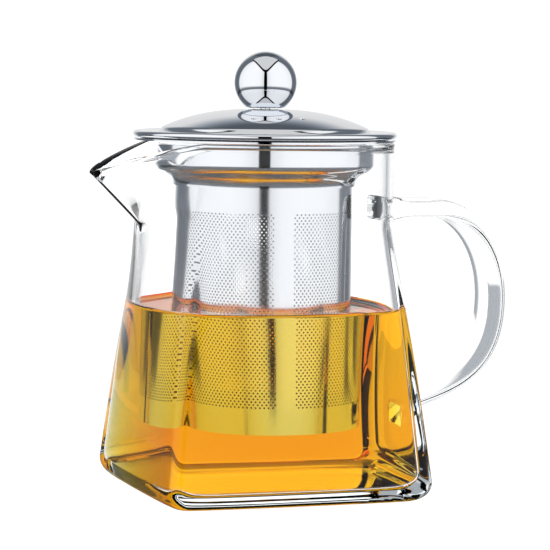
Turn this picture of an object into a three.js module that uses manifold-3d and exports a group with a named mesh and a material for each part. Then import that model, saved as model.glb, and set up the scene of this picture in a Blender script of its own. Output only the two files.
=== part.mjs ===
// A glass teapot with a square foot and a round mouth, a hanging steel infuser and a domed steel lid.
// Millimetres, +Z up. The origin is on the axis of the mouth at the height of the table;
// the handle is towards +X and the spout towards -X.
import * as THREE from "three";
import { mergeVertices } from "three/addons/utils/BufferGeometryUtils.js";
import Module from "manifold-3d";

const wasm = await Module();
wasm.setup();

// ---- Driving dimensions ----

const SEAT_GAP = 0.3; // between pieces that rest on each other or are joined

// Glass jug
const JUG_HEIGHT = 114.1; // table to the rim of the mouth
const NECK_RADIUS = 42.2; // outside of the round neck
const NECK_LENGTH = 22; // the part below the rim that is fully round
const BASE_HALF_SIDE = 46; // outside of the square foot
const BASE_CORNER_REACH = 1.396; // corners over half sides; a plain square has 1.414
const BASE_EDGE_RADIUS = 7; // between the bottom and the sides
const SIDE_FADE = 4; // the sides draw in to the neck's radius by this power of the height
const CORNER_SWELL = 2.25; // how far the corners bulge out halfway up
const OUTER_ROUNDING = 0.045; // radians of each outer corner that are rounded off
const INNER_ROUNDING = 0.09; // and of each inner corner
const GLASS_WALL = 2.4;
const FLOOR_THICKNESS = 4.6;
const FLOOR_EDGE_RADIUS = 5; // inside, between the floor and the walls
const RIM_BEAD_HEIGHT = 1.6;
const RIM_BEAD_OUTER = 0.15; // how far the bead stands out from the wall
const RIM_BEAD_INNER = 0.3; // and how far it stands in
const RIM_BEAD_ROUNDING = 1 / 3; // of the bead's width, at each of its edges

// Spout, a beak drawn out of the neck
const SPOUT_LENGTH = 16.6; // tip beyond the neck
const SPOUT_DEPTH = 27; // root of the keel below the rim
const SPOUT_TIP_DROP = 10.2; // tip below the rim
const SPOUT_DROP_CURVE = 1.25; // 1 makes the lip's edge fall straight to the tip

// Handle, a flat strap of glass
const HANDLE_WIDTH = 17;
const HANDLE_THICKNESS = 6;
const HANDLE_REACH = 38.4; // middle of the strap beyond the neck
const HANDLE_TOP_DROP = 21.8; // middle of the upper arm below the rim
const HANDLE_FOOT_Z = 23; // middle of the lower root
const HANDLE_ARM = 0.44; // straight upper arm, as a share of the reach
const HANDLE_WIDEST = 0.56; // height of the outermost point, as a share of the handle's
const HANDLE_BEND_PULL = [0.55, 0.58]; // how square the upper bend is, along and down
const HANDLE_BACK_PULL = 0.31; // height at which the back starts to turn in
const HANDLE_FOOT_PULL = [0.52, 0.17]; // direction in which the strap meets the foot

// Infuser
const SHEET = 0.6; // thickness of the steel sheet
const COLLAR_CLEARANCE = 4.2; // between the glass wall and the collar
const COLLAR_HEIGHT = 10.4; // rim flange to the foot of the straight band
const SHOULDER_WIDTH = 7; // step in from the collar to the strainer
const SHOULDER_HEIGHT = 4.1;
const FLANGE_OVERHANG = 0.4; // beyond the neck
const FLANGE_BEND_RADIUS = 1.6;
const SHOULDER_BEND = 3.2;
const STRAINER_FLOOR_CLEARANCE = 17; // under the strainer, above the glass floor
const STRAINER_LAP = 2.4; // how far the strainer stands up inside the shoulder
const STRAINER_BOTTOM_RIM = 2.4; // turned-up edge of the bottom disc

// Lid
const LID_SHEET = 0.8;
const LID_OVERHANG = 0.8; // of the rolled lip beyond the neck
const LIP_HEIGHT = 2.2;
const LIP_WIDTH = 2.6;
const GUTTER_DEPTH = 0.5; // foot of the dome below the top of the lip
const DOME_INSET = 1; // foot of the dome inside the collar's radius
const DOME_RISE = 7.7;
const DOME_EDGE_HEIGHT = 1.1; // steep step at the foot of the dome
const DOME_CURVE = 2.6; // 2 makes the dome a parabola, more flattens its middle
const SKIRT_HEIGHT = 7;
const SKIRT_CLEARANCE = 0.4; // inside the collar
const VENT_COUNT = 3;
const VENT_RADIUS = 1;
const VENT_CIRCLE_RADIUS = 24.5;
const VENT_SPACING = THREE.MathUtils.degToRad(18.6);
const VENT_MIDDLE = THREE.MathUtils.degToRad(-98.4);

// Knob and the screw that holds it
const KNOB_RADIUS = 10.2;
const KNOB_SEAT_RADIUS = 6.1; // flat under the ball
const INSERT_RADIUS = 3.9;
const INSERT_HEIGHT = 6;
const SCREW_RADIUS = 1.5;
const SCREW_LENGTH = 6; // under the head
const SCREW_HEAD_RADIUS = 3.2;
const SCREW_HEAD_HEIGHT = 1.8;
const SCREW_CLEARANCE = 0.4; // of the holes that the screw passes through
const WASHER_RADIUS = 4.4;

// Fineness of the meshes
const JUG_SEGMENTS = 64;
const RING_SEGMENTS = 40;
const SMALL_SEGMENTS = 24;
const WALL_STEPS = 6; // levels of the jug's wall below the spout's root
const NECK_STEPS = 3; // and above it
const DOME_STEPS = 7;
const LIP_STEPS = 12; // round the lip's section
const BALL_STEPS = 8;
const BALL_INSIDE_STEPS = 5;
const STRAP_STEPS = 30; // along the handle
const STRAP_EDGE_STEPS = 4; // round each edge of the strap

// ---- Levels and radii that follow ----

const FULLY_ROUND_Z = JUG_HEIGHT - NECK_LENGTH;
const SPOUT_ROOT_Z = JUG_HEIGHT - SPOUT_DEPTH;
const SPOUT_TIP_Z = JUG_HEIGHT - SPOUT_TIP_DROP;
const FLANGE_Z = JUG_HEIGHT + SEAT_GAP; // underside of the infuser's flange
const COLLAR_RADIUS = NECK_RADIUS - GLASS_WALL - COLLAR_CLEARANCE;
const COLLAR_FOOT_Z = FLANGE_Z - COLLAR_HEIGHT;
const SHOULDER_FOOT_Z = COLLAR_FOOT_Z - SHOULDER_HEIGHT;
const STRAINER_RADIUS = COLLAR_RADIUS - SHOULDER_WIDTH;
const STRAINER_BOTTOM_Z = FLOOR_THICKNESS + STRAINER_FLOOR_CLEARANCE;
const LIP_Z = FLANGE_Z + SHEET + SEAT_GAP; // underside of the lid's lip
const LID_RADIUS = NECK_RADIUS + LID_OVERHANG;
const DOME_FOOT_RADIUS = COLLAR_RADIUS - DOME_INSET;
const DOME_FOOT_Z = LIP_Z + LIP_HEIGHT - GUTTER_DEPTH;
const DOME_STEP_Z = DOME_FOOT_Z + DOME_EDGE_HEIGHT / 3; // where the steep step starts
const DOME_TOP_Z = DOME_FOOT_Z + DOME_RISE;
const KNOB_BOTTOM_Z = DOME_TOP_Z + SEAT_GAP;

// ---- Helpers ----

// A closed geometry as a solid that can be joined and cut.
function solidOf(geometry) {
  const bare = geometry.clone();
  bare.deleteAttribute("normal");
  bare.deleteAttribute("uv");
  const merged = mergeVertices(bare, 1e-3);
  return new wasm.Manifold(
    new wasm.Mesh({
      numProp: 3,
      vertProperties: merged.attributes.position.array,
      triVerts: new Uint32Array(merged.index.array),
    }),
  );
}

// A solid's surface as a geometry.
function geometryOf(solid) {
  const surface = solid.getMesh();
  const geometry = new THREE.BufferGeometry();
  geometry.setAttribute("position", new THREE.BufferAttribute(surface.vertProperties, 3));
  geometry.setIndex(new THREE.BufferAttribute(surface.triVerts, 1));
  geometry.computeVertexNormals();
  return geometry;
}

// A solid of revolution about Z. The outline of (radius, height) points runs upwards on its outside.
function revolve(outline, segments = RING_SEGMENTS) {
  const points = outline.map(([radius, height]) => new THREE.Vector2(radius, height));
  return new THREE.LatheGeometry(points, segments).rotateX(Math.PI / 2);
}

// A closed outline round a ring's section: a revolved outline that ends where it starts.
function revolveRing(outline, segments = RING_SEGMENTS) {
  return revolve([...outline, outline[0]], segments);
}

// The section of a bent sheet: a line of (radius, height) points and its offset to the left of it.
function sheetSection(line, thickness) {
  const offset = line.map((point, i) => {
    const before = line[Math.max(i - 1, 0)];
    const after = line[Math.min(i + 1, line.length - 1)];
    const along = new THREE.Vector2(after[0] - before[0], after[1] - before[1]).normalize();
    return [point[0] - along.y * thickness, point[1] + along.x * thickness];
  });
  return [...line, ...offset.reverse()];
}

// Points along a path of lines and curves, each curve cut into the given number of steps.
function outlineOf(path, steps = 3) {
  return path.getPoints(steps).map((point) => [point.x, point.y]);
}

function named(name, geometry, material) {
  const mesh = new THREE.Mesh(geometry, material);
  mesh.name = name;
  return mesh;
}

// ---- Materials ----

const glass = new THREE.MeshStandardMaterial({
  color: 0xe6eef0,
  roughness: 0.02,
  metalness: 0,
  transparent: true,
  opacity: 0.35,
});
const polishedSteel = new THREE.MeshStandardMaterial({
  color: 0xc9ccd0,
  roughness: 0.08,
  metalness: 1,
});
const satinSteel = new THREE.MeshStandardMaterial({
  color: 0xbfc3c7,
  roughness: 0.28,
  metalness: 1,
});

// ---- Shape of the jug ----

// How much of the square foot is left at a height: 1 at the table, 0 in the round neck.
function squareness(z) {
  return 1 - THREE.MathUtils.clamp(z / FULLY_ROUND_Z, 0, 1);
}

function bodyHalfSide(z) {
  return NECK_RADIUS + (BASE_HALF_SIDE - NECK_RADIUS) * squareness(z) ** SIDE_FADE;
}

function bodyCornerReach(z) {
  const left = squareness(z);
  const reach = BASE_HALF_SIDE * BASE_CORNER_REACH;
  return NECK_RADIUS + (reach - NECK_RADIUS) * left + CORNER_SWELL * 4 * left * (1 - left);
}

// Distance from the middle of a section of the body to its edge, in one direction.
// The section is a square whose sides are arcs, given by its half side and its corners' reach.
function bodyRadius(angle, z, rounding) {
  const halfSide = bodyHalfSide(z);
  const corner = bodyCornerReach(z);
  const sideRadius =
    (corner ** 2 + halfSide ** 2 - Math.SQRT2 * corner * halfSide) / (2 * halfSide - Math.SQRT2 * corner);
  const middle = halfSide - sideRadius;
  const fromCorner = Math.abs(THREE.MathUtils.euclideanModulo(angle, Math.PI / 2) - Math.PI / 4);
  const fromSide = Math.PI / 4 - Math.hypot(fromCorner, rounding);
  return middle * Math.cos(fromSide) + Math.sqrt(sideRadius ** 2 - (middle * Math.sin(fromSide)) ** 2);
}

// Angle between a direction and the spout's.
function fromSpout(angle) {
  return Math.abs(Math.atan2(-Math.sin(angle), -Math.cos(angle)));
}

// The beak's two sides run straight from its tip and touch the neck, so they are its tangents.
function beakRadius(angle, z) {
  const share = (z - SPOUT_ROOT_Z) / (SPOUT_TIP_Z - SPOUT_ROOT_Z);
  const tip = NECK_RADIUS + SPOUT_LENGTH * THREE.MathUtils.clamp(share, 0, 1);
  const spread = Math.acos(NECK_RADIUS / tip);
  const turn = fromSpout(angle);
  return turn < spread ? NECK_RADIUS / Math.cos(spread - turn) : 0;
}

// How far the lip's edge has fallen below the rim on its way along the beak.
function lipDrop(angle) {
  const spread = Math.acos(NECK_RADIUS / (NECK_RADIUS + SPOUT_LENGTH));
  const along = Math.tan(Math.max(spread - fromSpout(angle), 0)) / Math.tan(spread);
  return SPOUT_TIP_DROP * along ** SPOUT_DROP_CURVE;
}

// Turns the round lathe form of the jug into its real form: each point keeps its share of the radius.
function shapeLikeJug(geometry) {
  const place = geometry.attributes.position;
  for (let i = 0; i < place.count; i++) {
    const angle = Math.atan2(place.getY(i), place.getX(i));
    const radius = Math.hypot(place.getX(i), place.getY(i));
    const share = Math.max((place.getZ(i) - SPOUT_ROOT_Z) / SPOUT_DEPTH, 0);
    const z = place.getZ(i) - lipDrop(angle) * share;
    const isInside = radius < NECK_RADIUS - GLASS_WALL / 2 && z > FLOOR_THICKNESS / 2;
    const body = bodyRadius(angle, z, isInside ? INNER_ROUNDING : OUTER_ROUNDING);
    const scale = Math.max(body, beakRadius(angle, z)) / NECK_RADIUS;
    place.setXYZ(i, Math.cos(angle) * radius * scale, Math.sin(angle) * radius * scale, z);
  }
  return geometry;
}

// Heights from one level to another, both left out.
function between(low, high, count) {
  return Array.from({ length: count }, (_, i) => low + ((high - low) * (i + 1)) / (count + 1));
}

function outerWall(radius) {
  const neckTop = JUG_HEIGHT - RIM_BEAD_HEIGHT;
  return [
    ...outlineOf(
      new THREE.Path()
        .moveTo(0, 0)
        .lineTo(radius - BASE_EDGE_RADIUS, 0)
        .absarc(radius - BASE_EDGE_RADIUS, BASE_EDGE_RADIUS, BASE_EDGE_RADIUS, -Math.PI / 2, 0),
    ),
    ...between(BASE_EDGE_RADIUS, SPOUT_ROOT_Z, WALL_STEPS).map((z) => [radius, z]),
    [radius, SPOUT_ROOT_Z],
    ...between(SPOUT_ROOT_Z, neckTop, NECK_STEPS).map((z) => [radius, z]),
    [radius, neckTop],
  ];
}

function jugOutline() {
  const inner = NECK_RADIUS - GLASS_WALL;
  const neckTop = JUG_HEIGHT - RIM_BEAD_HEIGHT;
  const beadOut = NECK_RADIUS + RIM_BEAD_OUTER;
  const beadIn = inner - RIM_BEAD_INNER;
  const beadRound = (beadOut - beadIn) * RIM_BEAD_ROUNDING;
  const floorTop = FLOOR_THICKNESS + FLOOR_EDGE_RADIUS;
  const bead = outlineOf(
    new THREE.Path()
      .moveTo(beadOut, JUG_HEIGHT - RIM_BEAD_HEIGHT / 2)
      .quadraticCurveTo(beadOut, JUG_HEIGHT, beadOut - beadRound, JUG_HEIGHT)
      .lineTo(beadIn + beadRound, JUG_HEIGHT)
      .quadraticCurveTo(beadIn, JUG_HEIGHT, beadIn, JUG_HEIGHT - RIM_BEAD_HEIGHT / 2),
  );
  return [
    ...outerWall(NECK_RADIUS),
    ...bead,
    [inner, neckTop],
    ...between(SPOUT_ROOT_Z, neckTop, NECK_STEPS).reverse().map((z) => [inner, z]),
    [inner, SPOUT_ROOT_Z],
    ...between(floorTop, SPOUT_ROOT_Z, WALL_STEPS).reverse().map((z) => [inner, z]),
    ...outlineOf(
      new THREE.Path().absarc(inner - FLOOR_EDGE_RADIUS, floorTop, FLOOR_EDGE_RADIUS, 0, -Math.PI / 2, true),
    ),
    [0, FLOOR_THICKNESS],
  ];
}

function glassJug() {
  return shapeLikeJug(revolve(jugOutline(), JUG_SEGMENTS));
}

// The jug without its hollow and a seat gap larger, to end the handle against.
function jugEnvelope() {
  const grown = NECK_RADIUS + SEAT_GAP;
  return shapeLikeJug(revolve([...outerWall(grown), [0, JUG_HEIGHT - RIM_BEAD_HEIGHT]], JUG_SEGMENTS));
}

// ---- Handle ----

// A plane curve in X and Z, given to ExtrudeGeometry as a curve in space.
function inHandlePlane(points) {
  return new THREE.CubicBezierCurve3(...points.map(([x, z]) => new THREE.Vector3(x, 0, z)));
}

function handlePath() {
  const topZ = JUG_HEIGHT - HANDLE_TOP_DROP;
  const outermost = NECK_RADIUS + HANDLE_REACH;
  const rootX = NECK_RADIUS - GLASS_WALL;
  const bendX = rootX + HANDLE_ARM * (outermost - rootX);
  const widestZ = HANDLE_FOOT_Z + HANDLE_WIDEST * (topZ - HANDLE_FOOT_Z);
  const [alongBend, downBend] = HANDLE_BEND_PULL;
  const [outOfFoot, upFromFoot] = HANDLE_FOOT_PULL;
  const path = new THREE.CurvePath();
  path.add(new THREE.LineCurve3(new THREE.Vector3(rootX, 0, topZ), new THREE.Vector3(bendX, 0, topZ)));
  path.add(
    inHandlePlane([
      [bendX, topZ],
      [bendX + alongBend * (outermost - bendX), topZ],
      [outermost, widestZ + downBend * (topZ - widestZ)],
      [outermost, widestZ],
    ]),
  );
  path.add(
    inHandlePlane([
      [outermost, widestZ],
      [outermost, HANDLE_FOOT_Z + HANDLE_BACK_PULL * (widestZ - HANDLE_FOOT_Z)],
      [rootX + outOfFoot * (outermost - rootX), HANDLE_FOOT_Z + upFromFoot * (widestZ - HANDLE_FOOT_Z)],
      [rootX, HANDLE_FOOT_Z],
    ]),
  );
  return path;
}

function strapSection() {
  const round = HANDLE_THICKNESS / 2;
  const reach = HANDLE_WIDTH / 2 - round;
  return new THREE.Shape()
    .moveTo(-round, -reach)
    .absarc(0, -reach, round, Math.PI, 2 * Math.PI)
    .lineTo(round, reach)
    .absarc(0, reach, round, 0, Math.PI)
    .closePath();
}

function handle() {
  const strap = new THREE.ExtrudeGeometry(strapSection(), {
    steps: STRAP_STEPS,
    curveSegments: STRAP_EDGE_STEPS,
    extrudePath: handlePath(),
    bevelEnabled: false,
  });
  return geometryOf(solidOf(strap).subtract(solidOf(jugEnvelope())));
}

// ---- Infuser ----

// Sheet steel from the flange's edge, down the collar and over the shoulder to the strainer.
function infuserCollar() {
  const flangeEdge = NECK_RADIUS + FLANGE_OVERHANG;
  const mouth = STRAINER_RADIUS + SEAT_GAP + SHEET;
  const shoulderTop = COLLAR_FOOT_Z + SHOULDER_BEND;
  const shoulderMiddle = [(COLLAR_RADIUS + mouth) / 2, COLLAR_FOOT_Z];
  const outside = outlineOf(
    new THREE.Path()
      .moveTo(mouth, SHOULDER_FOOT_Z)
      .quadraticCurveTo(mouth, COLLAR_FOOT_Z - SHOULDER_HEIGHT / 3, ...shoulderMiddle)
      .quadraticCurveTo(COLLAR_RADIUS, COLLAR_FOOT_Z + SHOULDER_HEIGHT / 3, COLLAR_RADIUS, shoulderTop)
      .lineTo(COLLAR_RADIUS, FLANGE_Z - FLANGE_BEND_RADIUS)
      .quadraticCurveTo(COLLAR_RADIUS, FLANGE_Z, COLLAR_RADIUS + FLANGE_BEND_RADIUS, FLANGE_Z)
      .lineTo(flangeEdge, FLANGE_Z),
  );
  return revolveRing(sheetSection(outside, SHEET));
}

function strainerTube() {
  const inside = STRAINER_RADIUS - SHEET;
  const top = SHOULDER_FOOT_Z + STRAINER_LAP;
  return revolveRing([
    [inside, STRAINER_BOTTOM_Z],
    [STRAINER_RADIUS, STRAINER_BOTTOM_Z],
    [STRAINER_RADIUS, top],
    [inside, top],
  ]);
}

// A shallow dish pushed up into the end of the tube.
function strainerBottom() {
  const edge = STRAINER_RADIUS - SHEET - SEAT_GAP;
  const low = STRAINER_BOTTOM_Z + SHEET;
  return revolve([
    [0, low],
    [edge, low],
    [edge, low + STRAINER_BOTTOM_RIM],
    [edge - SHEET, low + STRAINER_BOTTOM_RIM],
    [edge - SHEET, low + SHEET],
    [0, low + SHEET],
  ]);
}

// ---- Lid ----

// Height of the dome's top side at a radius.
function domeHeight(radius) {
  const crown = DOME_RISE - DOME_EDGE_HEIGHT;
  return DOME_TOP_Z - crown * (radius / DOME_FOOT_RADIUS) ** DOME_CURVE;
}

// The lid's sheet from its lip to the screw hole, as the line of its top side.
function lidTopLine() {
  const hole = SCREW_RADIUS + SCREW_CLEARANCE;
  const lipTop = LIP_Z + LIP_HEIGHT;
  const turn = DOME_EDGE_HEIGHT; // radius taken by the dome's steep foot
  const crownEdge = DOME_FOOT_RADIUS - turn;
  const crown = [crownEdge, ...between(hole, crownEdge, DOME_STEPS).reverse(), hole];
  return [
    [LID_RADIUS - LIP_WIDTH / 2, lipTop],
    [LID_RADIUS - LIP_WIDTH, lipTop - GUTTER_DEPTH / 3],
    [DOME_FOOT_RADIUS + turn, DOME_FOOT_Z],
    [DOME_FOOT_RADIUS, DOME_STEP_Z],
    ...crown.map((radius) => [radius, domeHeight(radius)]),
  ];
}

function lidLip() {
  const middle = LID_RADIUS - LIP_WIDTH / 2;
  return Array.from({ length: LIP_STEPS }, (_, i) => {
    const turn = (2 * Math.PI * i) / LIP_STEPS;
    return [middle + (LIP_WIDTH / 2) * Math.cos(turn), LIP_Z + (LIP_HEIGHT / 2) * (1 + Math.sin(turn))];
  });
}

function ventCutter(index) {
  const turn = VENT_MIDDLE + (index - (VENT_COUNT - 1) / 2) * VENT_SPACING;
  const height = DOME_RISE * 2;
  return new THREE.CylinderGeometry(VENT_RADIUS, VENT_RADIUS, height, SMALL_SEGMENTS)
    .rotateX(Math.PI / 2)
    .translate(Math.cos(turn) * VENT_CIRCLE_RADIUS, Math.sin(turn) * VENT_CIRCLE_RADIUS, DOME_TOP_Z);
}

function lidShell() {
  let shell = solidOf(revolveRing(sheetSection(lidTopLine(), LID_SHEET))).add(solidOf(revolveRing(lidLip())));
  for (let i = 0; i < VENT_COUNT; i++) shell = shell.subtract(solidOf(ventCutter(i)));
  return geometryOf(shell);
}

// The ring that keeps the lid in the middle of the collar.
function lidSkirt() {
  const outside = COLLAR_RADIUS - SHEET - SKIRT_CLEARANCE;
  const top = DOME_STEP_Z - LID_SHEET - SEAT_GAP;
  const bottom = top - SKIRT_HEIGHT;
  return revolveRing([
    [outside - SHEET, bottom],
    [outside, bottom],
    [outside, top],
    [outside - SHEET, top],
  ]);
}

// ---- Knob ----

// A hollow steel ball, open underneath round its threaded insert.
function knobBall() {
  const opening = INSERT_RADIUS + SEAT_GAP;
  const middle = KNOB_BOTTOM_Z + Math.sqrt(KNOB_RADIUS ** 2 - KNOB_SEAT_RADIUS ** 2);
  const inner = KNOB_RADIUS - LID_SHEET;
  const innerBottom = Math.asin((KNOB_BOTTOM_Z + LID_SHEET - middle) / inner);
  const outerBottom = Math.asin((KNOB_BOTTOM_Z - middle) / KNOB_RADIUS);
  const inside = outlineOf(
    new THREE.Path().absarc(0, middle, inner, Math.PI / 2, innerBottom, true),
    BALL_INSIDE_STEPS,
  );
  const outside = outlineOf(
    new THREE.Path().absarc(0, middle, KNOB_RADIUS, outerBottom, Math.PI / 2),
    BALL_STEPS,
  );
  return revolve([
    [0, middle + inner],
    ...inside.slice(1),
    [opening, KNOB_BOTTOM_Z + LID_SHEET],
    [opening, KNOB_BOTTOM_Z],
    ...outside.slice(0, -1),
    [0, middle + KNOB_RADIUS],
  ]);
}

// A boss with a blind thread, inside the ball.
function knobInsert() {
  const bore = SCREW_RADIUS + SEAT_GAP;
  const top = KNOB_BOTTOM_Z + INSERT_HEIGHT;
  return revolve(
    [
      [0, top - SHEET],
      [bore, top - SHEET],
      [bore, KNOB_BOTTOM_Z],
      [INSERT_RADIUS, KNOB_BOTTOM_Z],
      [INSERT_RADIUS, top],
      [0, top],
    ],
    SMALL_SEGMENTS,
  );
}

const WASHER_TOP_Z = DOME_TOP_Z - LID_SHEET - SEAT_GAP * 2;

function screwWasher() {
  const bore = SCREW_RADIUS + SCREW_CLEARANCE;
  return revolveRing(
    [
      [bore, WASHER_TOP_Z - SHEET],
      [WASHER_RADIUS, WASHER_TOP_Z - SHEET],
      [WASHER_RADIUS, WASHER_TOP_Z],
      [bore, WASHER_TOP_Z],
    ],
    SMALL_SEGMENTS,
  );
}

function lidScrew() {
  const headTop = WASHER_TOP_Z - SHEET - SEAT_GAP;
  const headBottom = headTop - SCREW_HEAD_HEIGHT;
  const head = outlineOf(
    new THREE.Path()
      .moveTo(0, headBottom)
      .quadraticCurveTo(SCREW_HEAD_RADIUS, headBottom, SCREW_HEAD_RADIUS, headTop - SHEET)
      .lineTo(SCREW_HEAD_RADIUS, headTop)
      .lineTo(SCREW_RADIUS, headTop)
      .lineTo(SCREW_RADIUS, headTop + SCREW_LENGTH)
      .lineTo(0, headTop + SCREW_LENGTH),
  );
  return revolve(head, SMALL_SEGMENTS);
}

// ---- The teapot ----

const pot = new THREE.Group();
pot.add(named("glass_jug", glassJug(), glass));
pot.add(named("handle", handle(), glass));

const infuser = new THREE.Group();
infuser.add(named("infuser_collar", infuserCollar(), polishedSteel));
infuser.add(named("strainer_tube", strainerTube(), satinSteel));
infuser.add(named("strainer_bottom", strainerBottom(), satinSteel));

const lid = new THREE.Group();
lid.add(named("lid_shell", lidShell(), polishedSteel));
lid.add(named("lid_skirt", lidSkirt(), satinSteel));
lid.add(named("knob_ball", knobBall(), polishedSteel));
lid.add(named("knob_insert", knobInsert(), satinSteel));
lid.add(named("screw_washer", screwWasher(), satinSteel));
lid.add(named("lid_screw", lidScrew(), satinSteel));

const teapot = new THREE.Group();
teapot.add(pot, infuser, lid);

export default teapot;
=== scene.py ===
"""A glass teapot with tea in it, on a pale floor in a light studio. Metres, +Z up, in the CAD's frame."""

import math

import bmesh
import bpy
import numpy as np
from mathutils import Matrix, Vector


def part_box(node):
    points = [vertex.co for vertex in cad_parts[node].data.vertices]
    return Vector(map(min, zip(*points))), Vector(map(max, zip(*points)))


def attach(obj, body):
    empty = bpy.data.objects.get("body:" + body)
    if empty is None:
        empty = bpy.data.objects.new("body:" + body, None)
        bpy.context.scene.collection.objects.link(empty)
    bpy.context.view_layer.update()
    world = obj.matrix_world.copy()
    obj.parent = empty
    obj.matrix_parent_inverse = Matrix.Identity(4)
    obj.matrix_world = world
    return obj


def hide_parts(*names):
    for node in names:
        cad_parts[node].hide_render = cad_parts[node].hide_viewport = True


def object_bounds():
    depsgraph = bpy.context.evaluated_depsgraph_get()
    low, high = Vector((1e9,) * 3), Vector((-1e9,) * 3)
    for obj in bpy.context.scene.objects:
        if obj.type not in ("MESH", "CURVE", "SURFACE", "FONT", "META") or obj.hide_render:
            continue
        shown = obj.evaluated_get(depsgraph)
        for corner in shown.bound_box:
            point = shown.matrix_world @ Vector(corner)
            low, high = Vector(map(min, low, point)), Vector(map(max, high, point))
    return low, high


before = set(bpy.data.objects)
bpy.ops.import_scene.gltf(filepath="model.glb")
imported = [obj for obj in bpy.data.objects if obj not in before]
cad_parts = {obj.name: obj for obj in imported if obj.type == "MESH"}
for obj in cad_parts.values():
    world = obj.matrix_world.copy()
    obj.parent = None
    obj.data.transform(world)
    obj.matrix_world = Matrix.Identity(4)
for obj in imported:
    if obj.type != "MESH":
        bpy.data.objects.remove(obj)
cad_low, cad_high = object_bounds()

MM = 0.001
TAU = 2 * math.pi

# ---- Sizes taken from the frame ----


def size_of(node):
    """Lowest and highest corner of a CAD node, as numpy arrays."""
    low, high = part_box(node)
    return np.array(low), np.array(high)


jug_low, jug_high = size_of("glass_jug")
handle_low, handle_high = size_of("handle")
collar_low, collar_high = size_of("infuser_collar")
tube_low, tube_high = size_of("strainer_tube")
bottom_low, bottom_high = size_of("strainer_bottom")
lid_low, lid_high = size_of("lid_shell")
skirt_low, skirt_high = size_of("lid_skirt")
ball_low, ball_high = size_of("knob_ball")
insert_low, insert_high = size_of("knob_insert")
washer_low, washer_high = size_of("screw_washer")
screw_low, screw_high = size_of("lid_screw")

FLANGE_OVERHANG = 0.4 * MM
RIM_Z = jug_high[2]
NECK_RADIUS = collar_high[0] - FLANGE_OVERHANG
SPOUT_TIP_RADIUS = -jug_low[0]

# ---- Shape of the jug ----

NECK_LENGTH = 22 * MM
BASE_HALF_SIDE = 46 * MM
BASE_CORNER_REACH = 1.396  # corners over half sides
BASE_EDGE_RADIUS = 7 * MM
SIDE_FADE = 4
CORNER_SWELL = 2.25 * MM
OUTER_ROUNDING = 0.045  # radians of each corner that are rounded off
INNER_ROUNDING = 0.09
GLASS_WALL = 2.4 * MM
FLOOR_THICKNESS = 4.6 * MM
FLOOR_EDGE_RADIUS = 5 * MM
RIM_BEAD_HEIGHT = 1.6 * MM
RIM_BEAD_OUTER = 0.15 * MM
RIM_BEAD_INNER = 0.3 * MM
SPOUT_DEPTH = 27 * MM
SPOUT_TIP_DROP = 10.2 * MM
SPOUT_DROP_CURVE = 1.25
KEEL_ROUNDING = 0.09  # radians of the beak's edge that are rounded off

FULLY_ROUND_Z = RIM_Z - NECK_LENGTH
SPOUT_ROOT_Z = RIM_Z - SPOUT_DEPTH
SPOUT_TIP_Z = RIM_Z - SPOUT_TIP_DROP
INNER_RADIUS = NECK_RADIUS - GLASS_WALL


def squareness(z):
    """How much of the square foot is left at a height: 1 at the table, 0 in the round neck."""
    return 1 - np.clip(z / FULLY_ROUND_Z, 0, 1)


def body_radius(angle, z, rounding):
    """Distance from the middle of a section of the body, a square with arcs for sides, to its edge."""
    left = squareness(z)
    half_side = NECK_RADIUS + (BASE_HALF_SIDE - NECK_RADIUS) * left**SIDE_FADE
    reach = BASE_HALF_SIDE * BASE_CORNER_REACH - NECK_RADIUS
    corner = NECK_RADIUS + reach * left + CORNER_SWELL * 4 * left * (1 - left)
    diagonal = math.sqrt(2) * corner
    side_radius = (corner**2 + half_side**2 - diagonal * half_side) / (2 * half_side - diagonal)
    middle = half_side - side_radius
    from_corner = np.abs(np.mod(angle, math.pi / 2) - math.pi / 4)
    from_side = math.pi / 4 - np.hypot(from_corner, rounding)
    return middle * np.cos(from_side) + np.sqrt(side_radius**2 - (middle * np.sin(from_side)) ** 2)


def from_spout(angle):
    return np.abs(np.arctan2(-np.sin(angle), -np.cos(angle)))


def beak_radius(angle, z):
    """The beak's sides run straight from its tip and touch the neck, so they are its tangents."""
    share = np.clip((z - SPOUT_ROOT_Z) / (SPOUT_TIP_Z - SPOUT_ROOT_Z), 0, 1)
    tip = NECK_RADIUS + (SPOUT_TIP_RADIUS - NECK_RADIUS) * share
    spread = np.arccos(NECK_RADIUS / tip) + KEEL_ROUNDING * share
    turn = np.hypot(from_spout(angle), KEEL_ROUNDING * share)
    return np.where(turn < spread, NECK_RADIUS / np.cos(np.maximum(spread - turn, 0)), 0)


def lip_drop(angle):
    """How far the lip's edge has fallen below the rim on its way along the beak."""
    spread = math.acos(NECK_RADIUS / SPOUT_TIP_RADIUS)
    along = np.tan(np.maximum(spread - from_spout(angle), 0)) / math.tan(spread)
    return SPOUT_TIP_DROP * along**SPOUT_DROP_CURVE


def like_jug(angle, radius, z):
    """A point of the round form of the jug, moved to the jug's real form."""
    share = np.maximum((z - SPOUT_ROOT_Z) / SPOUT_DEPTH, 0)
    z = z - lip_drop(angle) * share
    is_inside = (radius < INNER_RADIUS + 0.1 * MM) & (z > FLOOR_THICKNESS - 0.1 * MM)
    body = body_radius(angle, z, np.where(is_inside, INNER_ROUNDING, OUTER_ROUNDING))
    scale = np.maximum(body, beak_radius(angle, z)) / NECK_RADIUS
    return np.cos(angle) * radius * scale, np.sin(angle) * radius * scale, z


# ---- Outlines ----


def arc(middle, radius, start, end, steps):
    """Points (radius, height) of an arc, in degrees from the outward direction."""
    turns = np.radians(np.linspace(start, end, steps + 1))
    return [(middle[0] + radius * math.cos(t), middle[1] + radius * math.sin(t)) for t in turns]


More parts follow.
